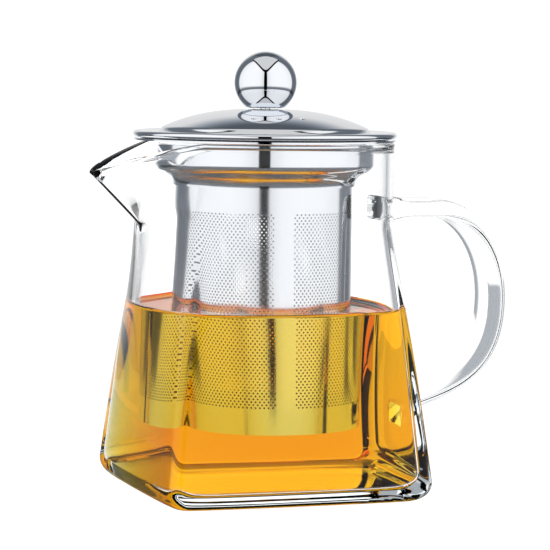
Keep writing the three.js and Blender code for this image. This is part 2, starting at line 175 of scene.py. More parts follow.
def bend(start, corner, end, steps):
    """Points of a quadratic curve."""
    curve = []
    for t in np.linspace(0, 1, steps + 1):
        a, b, c = (1 - t) ** 2, 2 * t * (1 - t), t * t
        curve.append(tuple(a * start[i] + b * corner[i] + c * end[i] for i in (0, 1)))
    return curve


def straight(start, end, steps):
    return [tuple(np.array(start) + (np.array(end) - start) * t) for t in np.linspace(0, 1, steps + 1)]


def chain(*stretches):
    """Stretches joined end to end, with points that coincide left out."""
    points = []
    for stretch in stretches:
        for point in stretch:
            if not points or math.dist(points[-1], point) > 1e-7:
                points.append(tuple(point))
    return points


def sheet_section(line, thickness):
    """The closed section of a bent sheet: a line and its offset to the left."""
    line = np.array(line)
    along = np.gradient(line, axis=0)
    along /= np.linalg.norm(along, axis=1)[:, None]
    offset = line + np.column_stack([-along[:, 1], along[:, 0]]) * thickness
    return [*map(tuple, line), *map(tuple, offset[::-1])]


# ---- Meshes ----


def make_piece(name, verts, faces, material, body, replaced=(), sharp=None, others=()):
    """A smooth mesh object that rides on a CAD body. others are materials, each with a test for its faces."""
    mesh = bpy.data.meshes.new(name)
    mesh.from_pydata(verts, [], faces)
    mesh.validate()
    piece = bpy.data.objects.new(name, mesh)
    bpy.context.collection.objects.link(piece)
    tidy = bmesh.new()
    tidy.from_mesh(mesh)
    bmesh.ops.remove_doubles(tidy, verts=tidy.verts, dist=1e-8)
    bmesh.ops.recalc_face_normals(tidy, faces=tidy.faces)
    tidy.to_mesh(mesh)
    tidy.free()
    mesh.shade_smooth()
    if sharp is not None:
        mesh.set_sharp_from_angle(angle=math.radians(sharp))
    mesh.materials.append(material)
    for other, takes in others:
        mesh.materials.append(other)
        for face in mesh.polygons:
            if takes(face.center, face.normal):
                face.material_index = len(mesh.materials) - 1
    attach(piece, body)
    if replaced:
        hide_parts(*replaced)
    return piece


def revolved(outline, segments, shape=None, closed=False):
    """Vertices and faces of a surface of revolution about Z; shape moves its points."""
    outline = np.array(outline)
    angles = np.arange(segments) * TAU / segments
    angle, radius = np.meshgrid(angles, outline[:, 0], indexing="ij")
    z = np.broadcast_to(outline[:, 1], radius.shape)
    if shape is None:
        x, y = np.cos(angle) * radius, np.sin(angle) * radius
    else:
        x, y, z = shape(angle, radius, z)
    verts = np.stack([x, y, z], axis=-1).reshape(-1, 3)
    count = len(outline)
    faces = []
    for i in range(segments):
        a, b = i * count, (i + 1) % segments * count
        for j in range(count if closed else count - 1):
            k = (j + 1) % count
            faces.append((a + j, b + j, b + k, a + k))
    return verts.tolist(), faces


# ---- Materials ----


def new_material(name):
    material = bpy.data.materials.new(name)
    material.use_nodes = True
    tree = material.node_tree
    return material, tree, tree.nodes["Principled BSDF"]


def noise(tree, scale, detail=2.0, stretch=(1, 1, 1)):
    """Noise over the object's own coordinates, in metres."""
    place = tree.nodes.new("ShaderNodeTexCoord")
    mapping = tree.nodes.new("ShaderNodeMapping")
    mapping.inputs["Scale"].default_value = stretch
    texture = tree.nodes.new("ShaderNodeTexNoise")
    texture.inputs["Scale"].default_value = scale
    texture.inputs["Detail"].default_value = detail
    tree.links.new(place.outputs["Object"], mapping.inputs["Vector"])
    tree.links.new(mapping.outputs["Vector"], texture.inputs["Vector"])
    return texture.outputs["Fac"]


def ranged(tree, value, low, high):
    """A value of 0.3 to 0.7, as noise gives, spread between two others."""
    spread = tree.nodes.new("ShaderNodeMapRange")
    spread.inputs["From Min"].default_value = 0.3
    spread.inputs["From Max"].default_value = 0.7
    spread.inputs["To Min"].default_value = low
    spread.inputs["To Max"].default_value = high
    tree.links.new(value, spread.inputs["Value"])
    return spread.outputs["Result"]


def bump(tree, shader, height, distance, strength=1.0):
    node = tree.nodes.new("ShaderNodeBump")
    node.inputs["Strength"].default_value = strength
    node.inputs["Distance"].default_value = distance
    tree.links.new(height, node.inputs["Height"])
    tree.links.new(node.outputs["Normal"], shader.inputs["Normal"])


def absorb(tree, colour, density):
    """Colour that deepens with the length of the way through."""
    volume = tree.nodes.new("ShaderNodeVolumeAbsorption")
    volume.inputs["Color"].default_value = (*colour, 1)
    volume.inputs["Density"].default_value = density
    output = tree.nodes["Material Output"]
    tree.links.new(volume.outputs["Volume"], output.inputs["Volume"])


GLASS_IOR = 1.47
TEA_IOR = 1.333


def glass_material(name, ior):
    """Blown glass: clear, a little uneven. ior is the glass's index over that of what it touches."""
    material, tree, shader = new_material(name)
    shader.inputs["Base Color"].default_value = (1, 1, 1, 1)
    shader.inputs["Specular Tint"].default_value = (0.4, 0.4, 0.4, 1)
    shader.inputs["Roughness"].default_value = 0.0
    shader.inputs["IOR"].default_value = ior
    shader.inputs["Transmission Weight"].default_value = 1.0
    bump(tree, shader, noise(tree, 38, 1.0, (1, 1, 0.6)), 0.10 * MM)
    absorb(tree, (0.55, 0.78, 0.88), 2.2)
    return material


def tea_material(name, ior):
    """Tea, which lets red through best and blue least."""
    material, tree, shader = new_material(name)
    shader.inputs["Base Color"].default_value = (1, 1, 1, 1)
    shader.inputs["Roughness"].default_value = 0.0
    shader.inputs["IOR"].default_value = ior
    shader.inputs["Transmission Weight"].default_value = 1.0
    bump(tree, shader, noise(tree, 30, 1.0), 0.05 * MM)
    absorb(tree, (0.9955, 0.852, 0.055), 90)
    return material


def steel_material(name, roughness, grain_scale, grain_stretch, grain_depth):
    """Stainless steel with a grain that changes its roughness and its surface a little."""
    material, tree, shader = new_material(name)
    shader.inputs["Base Color"].default_value = (0.79, 0.81, 0.84, 1)
    shader.inputs["Metallic"].default_value = 1.0
    grain = noise(tree, grain_scale, 3.0, grain_stretch)
    tree.links.new(ranged(tree, grain, *roughness), shader.inputs["Roughness"])
    bump(tree, shader, grain, grain_depth)
    return material


glass = glass_material("blown_glass", GLASS_IOR)
wet_glass = glass_material("wet_glass", GLASS_IOR / TEA_IOR)
fused_glass = glass_material("fused_glass", 1.0)
tea = tea_material("tea_surface", TEA_IOR)
tea_in_glass = tea_material("tea_in_glass", 1.0)
polished = steel_material("polished_steel", (0.015, 0.035), 60, (1, 1, 1), 0.003 * MM)
drawn = steel_material("drawn_steel", (0.05, 0.08), 60, (1, 1, 0.3), 0.003 * MM)
satin = steel_material("satin_steel", (0.11, 0.15), 900, (1, 1, 0.04), 0.002 * MM)

# ---- The jug and the tea ----

HANDLE_WIDTH = handle_high[1] - handle_low[1]
HANDLE_THICKNESS = 6 * MM
HANDLE_TOP_Z = handle_high[2] - HANDLE_THICKNESS / 2
HANDLE_FOOT_Z = 23 * MM
HANDLE_ARM = 0.44  # straight upper arm, as a share of the reach
HANDLE_WIDEST = 0.56  # height of the outermost point, as a share of the handle's
HANDLE_BEND_PULL = (0.55, 0.58)  # how square the upper bend is, along and down
HANDLE_BACK_PULL = 0.31  # height at which the back starts to turn in
HANDLE_FOOT_PULL = (0.52, 0.17)  # direction in which the strap meets the foot
HANDLE_FLARE = 0.3
HANDLE_FLARE_LENGTH = 3.5 * MM
HANDLE_BITE = 1.3 * MM  # how deep its ends lie in the jug's wall

JUG_SEGMENTS = 512


def jug_outline():
    edge = BASE_EDGE_RADIUS
    neck_top = RIM_Z - RIM_BEAD_HEIGHT
    bead_out, bead_in = NECK_RADIUS + RIM_BEAD_OUTER, INNER_RADIUS - RIM_BEAD_INNER
    bead_round = (bead_out - bead_in) / 3
    bead_middle = RIM_Z - RIM_BEAD_HEIGHT / 2
    bead_foot = neck_top + 0.2 * RIM_BEAD_HEIGHT
    floor_edge = (INNER_RADIUS - FLOOR_EDGE_RADIUS, FLOOR_THICKNESS + FLOOR_EDGE_RADIUS)
    return chain(
        straight((0, 0), (NECK_RADIUS - edge, 0), 5),
        arc((NECK_RADIUS - edge, edge), edge, -90, 0, 12),
        straight((NECK_RADIUS, edge), (NECK_RADIUS, SPOUT_ROOT_Z), 24),
        straight((NECK_RADIUS, SPOUT_ROOT_Z), (NECK_RADIUS, neck_top), 14),
        bend((NECK_RADIUS, neck_top), (bead_out, bead_foot), (bead_out, bead_middle), 4),
        bend((bead_out, bead_middle), (bead_out, RIM_Z), (bead_out - bead_round, RIM_Z), 5),
        bend((bead_in + bead_round, RIM_Z), (bead_in, RIM_Z), (bead_in, bead_middle), 5),
        bend((bead_in, bead_middle), (bead_in, bead_foot), (INNER_RADIUS, neck_top), 4),
        straight((INNER_RADIUS, neck_top), (INNER_RADIUS, SPOUT_ROOT_Z), 14),
        straight((INNER_RADIUS, SPOUT_ROOT_Z), (INNER_RADIUS, floor_edge[1]), 24),
        arc(floor_edge, FLOOR_EDGE_RADIUS, 0, -90, 10),
        straight((floor_edge[0], FLOOR_THICKNESS), (0, FLOOR_THICKNESS), 5),
    )


TEA_LEVEL = 59.7 * MM
MENISCUS = 1.3 * MM
TEA_GAP = 0.02 * MM


def build_jug():
    def is_wet(middle, normal):
        outward = normal.dot(Vector((middle.x, middle.y, 0)).normalized())
        return outward < 0.5 and normal.z > -0.5 and 0.9 * FLOOR_THICKNESS < middle.z < TEA_LEVEL + MENISCUS

    def is_under_root(middle, normal):
        if middle.x < INNER_RADIUS or normal.x < 0.5:
            return False
        up = min(abs(middle.z - z) for z in (HANDLE_TOP_Z, HANDLE_FOOT_Z))
        round_part = HANDLE_THICKNESS / 2
        side = max(abs(middle.y) - (HANDLE_WIDTH / 2 - round_part), 0)
        return math.hypot(up, side) < round_part

    verts, faces = revolved(jug_outline(), JUG_SEGMENTS, like_jug)
    others = [(wet_glass, is_wet), (fused_glass, is_under_root)]
    make_piece("jug_glass", verts, faces, glass, "pot", ["glass_jug"], others=others)


def build_tea():
    def meets_glass(middle, normal):
        return middle.z < TEA_LEVEL - TEA_GAP or normal.z < 0.3

    radius = INNER_RADIUS - TEA_GAP
    floor = FLOOR_THICKNESS + TEA_GAP
    edge = FLOOR_EDGE_RADIUS
    outline = chain(
        straight((0, floor), (radius - edge, floor), 5),
        arc((radius - edge, floor + edge), edge, -90, 0, 10),
        straight((radius, floor + edge), (radius, TEA_LEVEL + MENISCUS), 22),
        bend(
            (radius, TEA_LEVEL + MENISCUS),
            (radius - MENISCUS * 0.4, TEA_LEVEL),
            (radius - 3 * MENISCUS, TEA_LEVEL),
            8,
        ),
        straight((radius - 3 * MENISCUS, TEA_LEVEL), (0, TEA_LEVEL), 8),
    )
    verts, faces = revolved(outline, JUG_SEGMENTS, like_jug)
    make_piece("tea", verts, faces, tea, "pot", sharp=50, others=[(tea_in_glass, meets_glass)])


# ---- The handle ----

def cubic(points, steps):
    a, b, c, d = map(np.array, points)
    t = np.linspace(0, 1, steps)[:, None]
    return (1 - t) ** 3 * a + 3 * (1 - t) ** 2 * t * b + 3 * (1 - t) * t**2 * c + t**3 * d


def handle_path():
    """(x, z) points of the middle of the strap, from the upper root to the lower one."""
    top = HANDLE_TOP_Z
    outermost = handle_high[0] - HANDLE_THICKNESS / 2
    root = INNER_RADIUS
    bend_x = root + HANDLE_ARM * (outermost - root)
    widest = HANDLE_FOOT_Z + HANDLE_WIDEST * (top - HANDLE_FOOT_Z)
    along_bend, down_bend = HANDLE_BEND_PULL
    out_of_foot, up_from_foot = HANDLE_FOOT_PULL
    upper = cubic(
        [
            (bend_x, top),
            (bend_x + along_bend * (outermost - bend_x), top),
            (outermost, widest + down_bend * (top - widest)),
            (outermost, widest),
        ],
        40,
    )
    lower = cubic(
        [
            (outermost, widest),
            (outermost, HANDLE_FOOT_Z + HANDLE_BACK_PULL * (widest - HANDLE_FOOT_Z)),
            (
                root + out_of_foot * (outermost - root),
                HANDLE_FOOT_Z + up_from_foot * (widest - HANDLE_FOOT_Z),
            ),
            (root, HANDLE_FOOT_Z),
        ],
        60,
    )
    arm = np.array(straight((root, top), (bend_x, top), 24))
    path = np.vstack([arm, upper[1:], lower[1:]])
    wall = np.array([like_jug(np.array(0.0), NECK_RADIUS, np.array(z))[0] for z in path[:, 1]])
    beyond = path[:, 0] - wall
    keep = beyond > -HANDLE_BITE
    return path[keep], beyond[keep]


def build_handle():
    path, beyond = handle_path()
    along = np.gradient(path, axis=0)
    along /= np.linalg.norm(along, axis=1)[:, None]
    across = np.column_stack([-along[:, 1], along[:, 0]])
    round_part = HANDLE_THICKNESS / 2
    reach = HANDLE_WIDTH / 2 - round_part
    half_turn = np.linspace(0, math.pi, 13)
    section = [
        *[(round_part * math.cos(t), reach + round_part * math.sin(t)) for t in half_turn],
        *[(-round_part * math.cos(t), -reach - round_part * math.sin(t)) for t in half_turn],
    ]
    flare = 1 + HANDLE_FLARE * np.exp(-((np.maximum(beyond, 0) / HANDLE_FLARE_LENGTH) ** 2))
    verts = []
    for (x, z), (nx, nz), grow in zip(path, across, flare):
        for out, side in section:
            verts.append((x + nx * out * grow, side * (0.6 + 0.4 * grow), z + nz * out * grow))
    count, rings = len(section), len(path)
    faces = [
        (i * count + j, i * count + (j + 1) % count, (i + 1) * count + (j + 1) % count, (i + 1) * count + j)
        for i in range(rings - 1)
        for j in range(count)
    ]
    faces.append(tuple(range(count)))
    faces.append(tuple(range((rings - 1) * count, rings * count)))

    def is_in_wall(middle, _normal):
        wall = like_jug(np.array(math.atan2(middle.y, middle.x)), NECK_RADIUS, np.array(middle.z))
        return math.hypot(middle.x, middle.y) < math.hypot(wall[0], wall[1])

    others = [(fused_glass, is_in_wall)]
    make_piece("handle_glass", verts, faces, glass, "pot", ["handle"], sharp=60, others=others)


# ---- The infuser ----

SHEET = 0.6 * MM
RING_SEGMENTS = 256
SHOULDER_HEIGHT = 4.1 * MM
SHOULDER_BEND = 3.2 * MM
FLANGE_BEND_RADIUS = 1.6 * MM
COLLAR_CLEARANCE = 4.2 * MM
COLLAR_RADIUS = INNER_RADIUS - COLLAR_CLEARANCE
MOUTH_GAP = 0.3 * MM


def build_collar():
    flange_z = collar_high[2] - SHEET
    foot_z = collar_low[2] + SHOULDER_HEIGHT
    mouth = tube_high[0] + MOUTH_GAP + SHEET
    middle = ((COLLAR_RADIUS + mouth) / 2, foot_z)
    outside = chain(
        bend((mouth, collar_low[2]), (mouth, foot_z - SHOULDER_HEIGHT / 3), middle, 10),
        bend(
            middle,
            (COLLAR_RADIUS, foot_z + SHOULDER_HEIGHT / 3),
            (COLLAR_RADIUS, foot_z + SHOULDER_BEND),
            10,
        ),
        straight((COLLAR_RADIUS, foot_z + SHOULDER_BEND), (COLLAR_RADIUS, flange_z - FLANGE_BEND_RADIUS), 3),
        bend(
            (COLLAR_RADIUS, flange_z - FLANGE_BEND_RADIUS),
            (COLLAR_RADIUS, flange_z),
            (COLLAR_RADIUS + FLANGE_BEND_RADIUS, flange_z),
            8,
        ),
        straight((COLLAR_RADIUS + FLANGE_BEND_RADIUS, flange_z), (collar_high[0], flange_z), 3),
    )
    verts, faces = revolved(sheet_section(outside, SHEET), RING_SEGMENTS, closed=True)
    make_piece("collar_steel", verts, faces, drawn, "infuser", ["infuser_collar"], sharp=35)


HOLE_RADIUS = 0.32 * MM
HOLE_PITCH = 1.41 * MM  # along a row
ROW_PITCH = 0.93 * MM  # rows are staggered by half a pitch
PLAIN_BAND = 6.6 * MM
BAND_MIDDLE = math.radians(-95.74)  # of the band without holes
TOP_MARGIN = 7.9 * MM  # above the first row, below the shoulder
BOTTOM_MARGIN = 8.2 * MM
PERFORATED_SHEET = 0.4 * MM


def perforated(columns, rows, column_pitch, row_pitch, hole_radius, has_hole):
    """Flat points and faces of a sheet with six-sided holes. Every second row is shifted by half a column."""
    points, faces = [], []
    index = {}

    def vertex(u, v):
        key = (round(u / column_pitch * 1000), round(v / row_pitch * 1000))
        if key not in index:
            index[key] = len(points)
            points.append((u, v))
        return index[key]

    for row in range(rows):
        shift = 0.5 * (row % 2)
        for column in range(columns):
            u, v = (column + shift) * column_pitch, row * row_pitch
            frame_points = [
                (u, v), (u + column_pitch / 2, v), (u + column_pitch, v),
                (u + column_pitch, v + row_pitch), (u + column_pitch / 2, v + row_pitch), (u, v + row_pitch),
            ]
            corners = [vertex(*p) for p in frame_points]
            if not has_hole(column + shift, row):
                faces.append(tuple(corners))
                continue
            middle_u, middle_v = u + column_pitch / 2, v + row_pitch / 2
            ring = []
            for step in range(6):
                turn = math.radians(-150 + 60 * step)
                ring.append(len(points))
                out_u, out_v = hole_radius * math.cos(turn), hole_radius * math.sin(turn)
                points.append((middle_u + out_u, middle_v + out_v))
            for step in range(6):
                after = (step + 1) % 6
                faces.append((corners[step], corners[after], ring[after], ring[step]))
    return points, faces


def thickened(points, faces, place, thickness):
    """A closed sheet from a flat pattern. place(u, v, depth) gives its points in space."""
    count = len(points)
    verts = [place(u, v, 0) for u, v in points] + [place(u, v, thickness) for u, v in points]
    edges = {}
    for face in faces:
        for a, b in zip(face, face[1:] + face[:1]):
            edges[(a, b)] = True
    solid = list(faces) + [tuple(count + i for i in reversed(face)) for face in faces]
    solid += [(b, a, a + count, b + count) for a, b in edges if (b, a) not in edges]
    return verts, solid


def build_tube():
    """Two half tubes of perforated sheet, joined in the middle of the plain band and opposite it."""
    radius = tube_high[0]
    around = TAU * radius
    columns = 2 * round(around / HOLE_PITCH / 2)
    pitch = around / columns
    half = columns // 2
    bottom, top = tube_low[2], tube_high[2]
    rows = round((top - bottom) / ROW_PITCH)
    row_pitch = (top - bottom) / rows
    shoulder_z = collar_low[2]
    band = PLAIN_BAND / pitch / 2

    for side, name in enumerate(("strainer_half_a", "strainer_half_b")):

        def has_hole(column, row, side=side):
            z = bottom + (row + 0.5) * row_pitch
            if not bottom + BOTTOM_MARGIN < z < shoulder_z - TOP_MARGIN:
                return False
            place = column + 0.5
            from_band = place if side == 0 else half - place
            return from_band > band and 0.4 < place < half - 0.1

        def on_tube(u, v, depth, side=side):
            turn = BAND_MIDDLE + (u / pitch + side * half) * TAU / columns
            r = radius - depth
            return (r * math.cos(turn), r * math.sin(turn), bottom + v)

        points, faces = perforated(half, rows, pitch, row_pitch, HOLE_RADIUS, has_hole)
        verts, solid = thickened(points, faces, on_tube, PERFORATED_SHEET)
        make_piece(name, verts, solid, satin, "infuser", ["strainer_tube"], sharp=35)


def build_bottom():
    """A dished disc."""
    edge, low, high = bottom_high[0], bottom_low[2], bottom_high[2]
    outline = chain(
        [(0, low)],
        straight((edge * 0.2, low), (edge - 1.2 * MM, low), 3),
        arc((edge - 1.2 * MM, low + 1.2 * MM), 1.2 * MM, -90, 0, 6),
        [(edge, high), (edge - SHEET, high)],
        arc((edge - 1.2 * MM, low + 1.2 * MM), 1.2 * MM - SHEET, 0, -90, 6),
        [(0, low + SHEET)],
    )
    verts, faces = revolved(outline, RING_SEGMENTS)
    make_piece("strainer_floor", verts, faces, satin, "infuser", ["strainer_bottom"], sharp=35)


# ---- The lid ----

LID_SHEET = 0.8 * MM
LIP_HEIGHT = 2.2 * MM
LIP_WIDTH = 2.6 * MM
GUTTER_DEPTH = 0.5 * MM
DOME_INSET = 1 * MM
DOME_EDGE_HEIGHT = 1.1 * MM
DOME_CURVE = 2.6
LID_RADIUS = lid_high[0]
LIP_Z = lid_low[2]
DOME_TOP_Z = lid_high[2]
SCREW_HOLE_RADIUS = 1.9 * MM
VENT_COUNT = 3
VENT_RADIUS = 1 * MM
VENT_CIRCLE_RADIUS = 24.5 * MM
VENT_SPACING = math.radians(18.6)
VENT_MIDDLE = math.radians(-98.4)


def lid_line():
    """The top side of the lid's sheet, from the lip to the screw hole."""
    foot_radius = COLLAR_RADIUS - DOME_INSET
    foot_z = LIP_Z + LIP_HEIGHT - GUTTER_DEPTH
    lip_top = LIP_Z + LIP_HEIGHT
    crown = DOME_TOP_Z - foot_z - DOME_EDGE_HEIGHT
    turn = DOME_EDGE_HEIGHT
    crown_edge = foot_radius - turn
    radii = np.linspace(crown_edge, SCREW_HOLE_RADIUS, 40)
    dome = [(r, DOME_TOP_Z - crown * (r / foot_radius) ** DOME_CURVE) for r in radii]
    outer = LID_RADIUS - LIP_WIDTH / 2
    gutter = LID_RADIUS - LIP_WIDTH
    return chain(
        straight((outer, lip_top), (gutter, lip_top - GUTTER_DEPTH / 4), 3),
        bend(
            (gutter, lip_top - GUTTER_DEPTH / 4),
            ((gutter + foot_radius) / 2, foot_z),
            (foot_radius + turn * 0.6, foot_z),
            8,
        ),
        bend((foot_radius + turn * 0.6, foot_z), (foot_radius, foot_z), dome[0], 8),
        dome,
    )


def lip_outline():
    middle = LID_RADIUS - LIP_WIDTH / 2
    return [
        (middle + LIP_WIDTH / 2 * math.cos(t), LIP_Z + LIP_HEIGHT / 2 * (1 + math.sin(t)))
        for t in np.arange(28) * TAU / 28
    ]


def cutter(x, y, low, high, radius):
    """A hidden cylinder to cut a hole with."""
    tool = bmesh.new()
    bmesh.ops.create_cone(
        tool,
        cap_ends=True,
        segments=32,
        radius1=radius,
        radius2=radius,
        depth=high - low,
        matrix=Matrix.Translation((x, y, (low + high) / 2)),
    )
    mesh = bpy.data.meshes.new("cutter")
    tool.to_mesh(mesh)
    tool.free()
    return bpy.data.objects.new("cutter", mesh)


def cut_holes(piece, cutters):
    """Cuts the cutters out of a piece for good and removes them."""
    for tool in cutters:
        bpy.context.collection.objects.link(tool)
        cut = piece.modifiers.new("cut", "BOOLEAN")
        cut.operation = "DIFFERENCE"
        cut.solver = "EXACT"
        cut.object = tool
    made = bpy.data.meshes.new_from_object(piece.evaluated_get(bpy.context.evaluated_depsgraph_get()))
    piece.modifiers.clear()
    piece.data = made
    for tool in cutters:
        bpy.data.objects.remove(tool)


def build_lid():
    verts, faces = revolved(sheet_section(lid_line(), LID_SHEET), RING_SEGMENTS, closed=True)
    shell = make_piece("lid_dome", verts, faces, polished, "lid", ["lid_shell"], sharp=40)
    vents = []
    for i in range(VENT_COUNT):
        turn = VENT_MIDDLE + (i - (VENT_COUNT - 1) / 2) * VENT_SPACING
        x, y = VENT_CIRCLE_RADIUS * math.cos(turn), VENT_CIRCLE_RADIUS * math.sin(turn)
        vents.append(cutter(x, y, LIP_Z, DOME_TOP_Z, VENT_RADIUS))
    cut_holes(shell, vents)
    verts, faces = revolved(lip_outline(), RING_SEGMENTS, closed=True)
    make_piece("lid_lip", verts, faces, polished, "lid", ["lid_shell"])


def ring_outline(low, high, inner):
    """A plain ring's section with slightly rounded edges, from a node's box."""
    outer, bottom, top = high[0], low[2], high[2]
    soft = min(outer - inner, top - bottom) * 0.2
    return chain(
        arc((outer - soft, bottom + soft), soft, -90, 0, 3),
        arc((outer - soft, top - soft), soft, 0, 90, 3),
        arc((inner + soft, top - soft), soft, 90, 180, 3),
        arc((inner + soft, bottom + soft), soft, 180, 270, 3),
    )


def build_skirt():
    outline = ring_outline(skirt_low, skirt_high, skirt_high[0] - SHEET)
    verts, faces = revolved(outline, RING_SEGMENTS, closed=True)
    make_piece("skirt_ring", verts, faces, satin, "lid", ["lid_skirt"], sharp=50)


# ---- The knob ----


def build_knob():
    radius = ball_high[0]
    middle = (0, ball_high[2] - radius)
    bottom = ball_low[2]
    opening = insert_high[0] + 0.3 * MM
    inner = radius - LID_SHEET
    low_turn = math.degrees(math.asin((bottom - middle[1]) / radius))
    inner_turn = math.degrees(math.asin((bottom + LID_SHEET - middle[1]) / inner))
    outline = chain(
        arc(middle, inner, 90, inner_turn, 36),
        [(opening, bottom + LID_SHEET), (opening, bottom)],
        arc(middle, radius, low_turn, 90, 48),
    )
    outline[0] = (0, middle[1] + inner)
    outline[-1] = (0, middle[1] + radius)
    verts, faces = revolved(outline, 128)
    make_piece("ball", verts, faces, polished, "lid", ["knob_ball"], sharp=50)


def build_insert():
    bore, top, low = 1.8 * MM, insert_high[2], insert_low[2]
    outline = [
        (0, top - SHEET), (bore, top - SHEET), (bore, low), (insert_high[0] - 0.3 * MM, low),
        (insert_high[0], low + 0.3 * MM), (insert_high[0], top - 0.3 * MM),
        (insert_high[0] - 0.3 * MM, top), (0, top),
    ]
    verts, faces = revolved(outline, 64)
    make_piece("threaded_boss", verts, faces, satin, "lid", ["knob_insert"], sharp=35)


def build_washer():
    outline = ring_outline(washer_low, washer_high, SCREW_HOLE_RADIUS)
    verts, faces = revolved(outline, 64, closed=True)
    make_piece("washer_ring", verts, faces, satin, "lid", ["screw_washer"], sharp=50)


def build_screw():
    head_radius, low, high = screw_high[0], screw_low[2], screw_high[2]
    shank = 1.5 * MM
    head_top = washer_low[2] - MOUTH_GAP
    outline = chain(
        [(0, low)],
        bend((0.01 * MM, low), (head_radius, low), (head_radius, head_top - SHEET), 10),
        [(head_radius, head_top), (shank, head_top)],
        [(shank, high - 0.4 * MM), (shank - 0.4 * MM, high), (0, high)],
    )
    verts, faces = revolved(outline, 64)
    piece = make_piece("screw", verts, faces, satin, "lid", ["lid_screw"], sharp=35)
    slot_tools = []
    for turn in (0, math.pi / 2):
        tool = bmesh.new()
        size = Matrix.Diagonal((3.4 * MM, 0.8 * MM, 1.6 * MM, 1))
        place = Matrix.Translation((0, 0, low)) @ Matrix.Rotation(turn, 4, "Z")
        bmesh.ops.create_cube(tool, matrix=place @ size)
        mesh = bpy.data.meshes.new("cutter")
        tool.to_mesh(mesh)
        tool.free()
        slot_tools.append(bpy.data.objects.new("cutter", mesh))
    cut_holes(piece, slot_tools)


# ---- Floor, studio and camera ----

CAMERA_AZIMUTH = math.radians(-18.64)
CAMERA_DISTANCE = 888.7 * MM
CAMERA_HEIGHT = 141.3 * MM
CAMERA_PITCH = math.radians(4.562)
CAMERA_ROLL = math.radians(0.674)
CAMERA_YAW_OFF_AXIS = math.radians(-0.245)
CAMERA_LENS = 178.3


FLOOR_RADIUS = 0.22
FLOOR_GLOW = 1.0


def math_node(tree, operation, *values):
    node = tree.nodes.new("ShaderNodeMath")
    node.operation = operation
    for socket, value in zip(node.inputs, values):
        if isinstance(value, (int, float)):
            socket.default_value = value
        else:
            tree.links.new(value, socket)
    return node.outputs[0]


def seen_in_steel(tree):
    """1 for light taken as reflected by steel, once or twice, and 0 for the rest. It goes by the surfaces crossed:
    none for bare steel, 4 for steel behind a dry wall, 6 for steel in the tea. Other reflections can match too."""
    rays = tree.nodes.new("ShaderNodeLightPath")
    crossed = rays.outputs["Transmission Depth"]
    direct = math_node(tree, "LESS_THAN", crossed, 0.5)
    through = math_node(tree, "COMPARE", crossed, 5.0, 1.5)
    reflected = math_node(tree, "COMPARE", rays.outputs["Glossy Depth"], 1.5, 1.0)
    return math_node(tree, "MULTIPLY", reflected, math_node(tree, "MAXIMUM", direct, through))


def build_floor():
    mesh = bpy.data.meshes.new("floor")
    tool = bmesh.new()
    bmesh.ops.create_circle(tool, cap_ends=True, segments=192, radius=FLOOR_RADIUS)
    tool.to_mesh(mesh)
    tool.free()
    floor = bpy.data.objects.new("floor", mesh)
    bpy.context.collection.objects.link(floor)
    floor.location.z = cad_low.z - 0.05 * MM
    # Painted light: the floor is dark grey and glows white, which stands in for light on it and washes out the
    # shade the pot casts. The glow is off where steel reflects the floor, bare or behind a dry wall, so there the
    # floor shows dark grey.
    material, tree, shader = new_material("glowing_floor")
    shader.inputs["Base Color"].default_value = (0.2, 0.2, 0.2, 1)
    shader.inputs["Specular IOR Level"].default_value = 0.0
    shader.inputs["Emission Color"].default_value = (1, 1, 1, 1)
    rays = tree.nodes.new("ShaderNodeLightPath")
    is_dry = math_node(tree, "LESS_THAN", rays.outputs["Transmission Depth"], 5.0)
    dark = math_node(tree, "MULTIPLY", seen_in_steel(tree), is_dry)
    glow = math_node(tree, "MULTIPLY", math_node(tree, "SUBTRACT", 1.0, dark), FLOOR_GLOW)
    tree.links.new(glow, shader.inputs["Emission Strength"])
    tree.links.new(ranged(tree, noise(tree, 3, 2.0), 0.6, 0.7), shader.inputs["Roughness"])
    mesh.materials.append(material)


def grey_ramp(tree, value, stops):
    """A brightness from 0 to 1 that follows stops of (place, brightness)."""
    ramp = tree.nodes.new("ShaderNodeValToRGB")
    ramp.color_ramp.interpolation = "LINEAR"
    elements = ramp.color_ramp.elements
    while len(elements) > 1:
        elements.remove(elements[-1])
    elements[0].position, elements[0].color = stops[0][0], (*[stops[0][1]] * 3, 1)
    for place, brightness in stops[1:]:
        elements.new(place).color = (*[brightness] * 3, 1)
    tree.links.new(value, ramp.inputs["Fac"])
    return ramp.outputs["Color"]


# Brightness round the studio at eye level: share of the half turn from the camera to the backdrop.
PANEL_STOPS = [
    (0.000, 0.00), (0.0310, 0.00), (0.0345, 0.78), (0.120, 0.96), (0.250, 1.00), (0.480, 0.98),
    (0.620, 0.88), (0.645, 0.20), (0.700, 0.15), (0.820, 0.17), (0.900, 0.66), (1.000, 0.70),
]

# What is seen through the glass: white all round but for two grey flags behind the object's sides.
FLAG_STOPS = [(0.0, 1.0), (0.56, 1.0), (0.60, 0.34), (0.80, 0.34), (0.88, 1.0), (1.0, 1.0)]

PANEL_BRIGHTNESS = 1.20
BACKDROP_BRIGHTNESS = 1.15
THROUGH_BRIGHTNESS = 1.38  # of the backdrop behind glass and tea
CEILING_BRIGHTNESS = 0.78

# The ceiling panel is a parabola in plan, at height 1: its tip is over the gap in front of the object.
CEILING_TIP = 0.93
CEILING_SPREAD = 0.22
CEILING_BACK = 0.45


